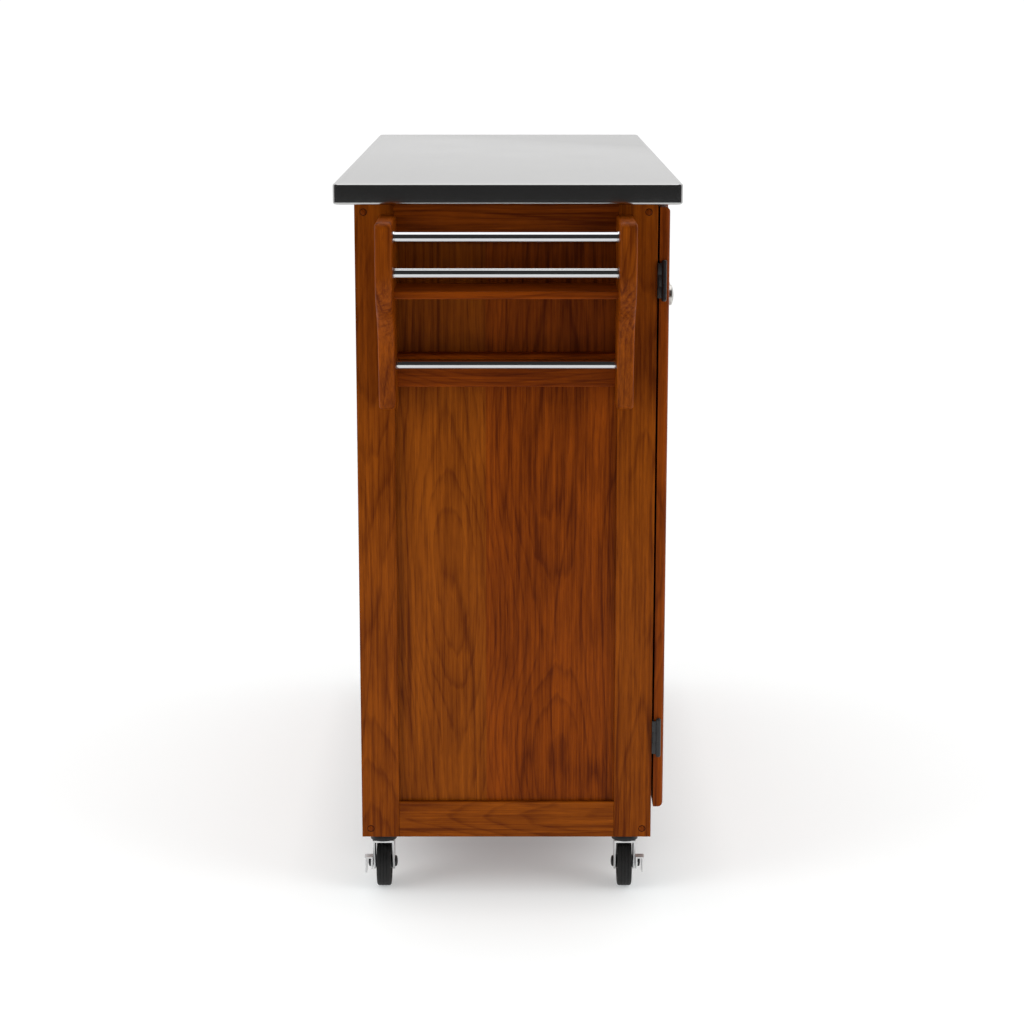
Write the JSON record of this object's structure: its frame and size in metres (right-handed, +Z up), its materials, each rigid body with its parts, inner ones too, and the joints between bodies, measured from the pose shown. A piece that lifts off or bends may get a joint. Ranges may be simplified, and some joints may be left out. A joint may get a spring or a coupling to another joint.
{
  "type": "rolling pantry cart",
  "caption": "Rolling kitchen pantry cart: framed hardwood cabinet with overlay doors and shelves, steel-clad worktop, swivel casters, and an end rack with rods and a towel bar.",
  "frame": {"origin": "on the floor, under the middle of the whole cart's box (rack and knobs included)", "axes": "+X runs along the cart from the rack end to the plain end, -Y is the door side, +Z is up"},
  "size_m": [1.166, 0.429, 0.9144],
  "materials": {
    "stained_wood": "satin lacquer over a cherry stain",
    "stained_panel": "satin lacquer over a cherry stain",
    "inner_wood": "sanded",
    "core_board": "raw board",
    "stainless": "fine brushed",
    "chrome": "polished",
    "knob_metal": "satin nickel",
    "black_steel": "semi-gloss black",
    "zinc": "bright zinc plate",
    "hub_plastic": "moulded",
    "tyre": "matt rubber"
  },
  "bodies": {
    "case": {"worktop_steel": "stainless", "worktop_core": "core_board", "worktop_cleats": "inner_wood", "left_end_stiles": "stained_wood", "left_end_rails": "stained_wood", "left_end_panel": "stained_panel", "right_end_stiles": "stained_wood", "right_end_rails": "stained_wood", "right_end_panel": "stained_panel", "back_stiles": "stained_wood", "back_rails": "stained_wood", "back_panels": "stained_panel", "front_rails": "stained_wood", "centre_stile": "stained_wood", "centre_partition": "stained_panel", "bottom_panel": "stained_panel", "corner_blocks": "inner_wood", "end_plugs": "stained_wood", "shelves": "stained_panel", "shelf_pins": "zinc", "case_hinge_leaves": "black_steel", "hinge_pins": "black_steel", "rack_brackets": "stained_wood", "rack_rods": "chrome", "towel_rod": "chrome", "rack_shelf": "stained_wood", "rack_board": "stained_wood", "rack_screws": "zinc", "caster_stems": "zinc", "caster_sockets": "zinc"},
    "left_door": {"left_door_frame": "stained_wood", "left_door_panel": "stained_panel", "left_door_knob": "knob_metal", "left_door_hinge_leaves": "black_steel"},
    "left_centre_door": {"left_centre_door_frame": "stained_wood", "left_centre_door_panel": "stained_panel", "left_centre_door_knob": "knob_metal", "left_centre_door_hinge_leaves": "black_steel"},
    "right_centre_door": {"right_centre_door_frame": "stained_wood", "right_centre_door_panel": "stained_panel", "right_centre_door_knob": "knob_metal", "right_centre_door_hinge_leaves": "black_steel"},
    "right_door": {"right_door_frame": "stained_wood", "right_door_panel": "stained_panel", "right_door_knob": "knob_metal", "right_door_hinge_leaves": "black_steel"},
    "left_front_caster": {"left_front_caster_fork": "zinc"},
    "left_front_wheel": {"left_front_wheel_hub": "hub_plastic", "left_front_tyre": "tyre"},
    "left_front_brake": {"left_front_brake_lever": "zinc"},
    "left_back_caster": {"left_back_caster_fork": "zinc"},
    "left_back_wheel": {"left_back_wheel_hub": "hub_plastic", "left_back_tyre": "tyre"},
    "left_back_brake": {"left_back_brake_lever": "zinc"},
    "right_front_caster": {"right_front_caster_fork": "zinc"},
    "right_front_wheel": {"right_front_wheel_hub": "hub_plastic", "right_front_tyre": "tyre"},
    "right_back_caster": {"right_back_caster_fork": "zinc"},
    "right_back_wheel": {"right_back_wheel_hub": "hub_plastic", "right_back_tyre": "tyre"}
  },
  "joints": [
    {"name": "left_door_hinge", "type": "hinge", "parent": "case", "child": "left_door", "pos_m": [-0.4746, -0.1875, 0.504], "axis": [0, 0, -1], "range_deg": [0, 170]},
    {"name": "left_centre_door_hinge", "type": "hinge", "parent": "case", "child": "left_centre_door", "pos_m": [0.0356, -0.1875, 0.504], "axis": [0, 0, 1], "range_deg": [0, 80]},
    {"name": "right_centre_door_hinge", "type": "hinge", "parent": "case", "child": "right_centre_door", "pos_m": [0.0464, -0.1875, 0.504], "axis": [0, 0, -1], "range_deg": [0, 80]},
    {"name": "right_door_hinge", "type": "hinge", "parent": "case", "child": "right_door", "pos_m": [0.5566, -0.1875, 0.504], "axis": [0, 0, 1], "range_deg": [0, 170]},
    {"name": "left_front_swivel", "type": "hinge", "parent": "case", "child": "left_front_caster", "pos_m": [-0.444, -0.1475, 0.07], "axis": [0, 0, 1], "continuous": true},
    {"name": "left_front_spin", "type": "hinge", "parent": "left_front_caster", "child": "left_front_wheel", "pos_m": [-0.43, -0.1475, 0.03175], "axis": [0, 1, 0], "continuous": true},
    {"name": "left_front_brake_press", "type": "hinge", "parent": "left_front_caster", "child": "left_front_brake", "pos_m": [-0.43, -0.1475, 0.03175], "axis": [0, -1, 0], "range_deg": [0, 20]},
    {"name": "left_back_swivel", "type": "hinge", "parent": "case", "child": "left_back_caster", "pos_m": [-0.444, 0.1645, 0.07], "axis": [0, 0, 1], "continuous": true},
    {"name": "left_back_spin", "type": "hinge", "parent": "left_back_caster", "child": "left_back_wheel", "pos_m": [-0.43, 0.1645, 0.03175], "axis": [0, 1, 0], "continuous": true},
    {"name": "left_back_brake_press", "type": "hinge", "parent": "left_back_caster", "child": "left_back_brake", "pos_m": [-0.43, 0.1645, 0.03175], "axis": [0, -1, 0], "range_deg": [0, 20]},
    {"name": "right_front_swivel", "type": "hinge", "parent": "case", "child": "right_front_caster", "pos_m": [0.526, -0.1475, 0.07], "axis": [0, 0, 1], "continuous": true},
    {"name": "right_front_spin", "type": "hinge", "parent": "right_front_caster", "child": "right_front_wheel", "pos_m": [0.54, -0.1475, 0.03175], "axis": [0, 1, 0], "continuous": true},
    {"name": "right_back_swivel", "type": "hinge", "parent": "case", "child": "right_back_caster", "pos_m": [0.526, 0.1645, 0.07], "axis": [0, 0, 1], "continuous": true},
    {"name": "right_back_spin", "type": "hinge", "parent": "right_back_caster", "child": "right_back_wheel", "pos_m": [0.54, 0.1645, 0.03175], "axis": [0, 1, 0], "continuous": true}
  ]
}
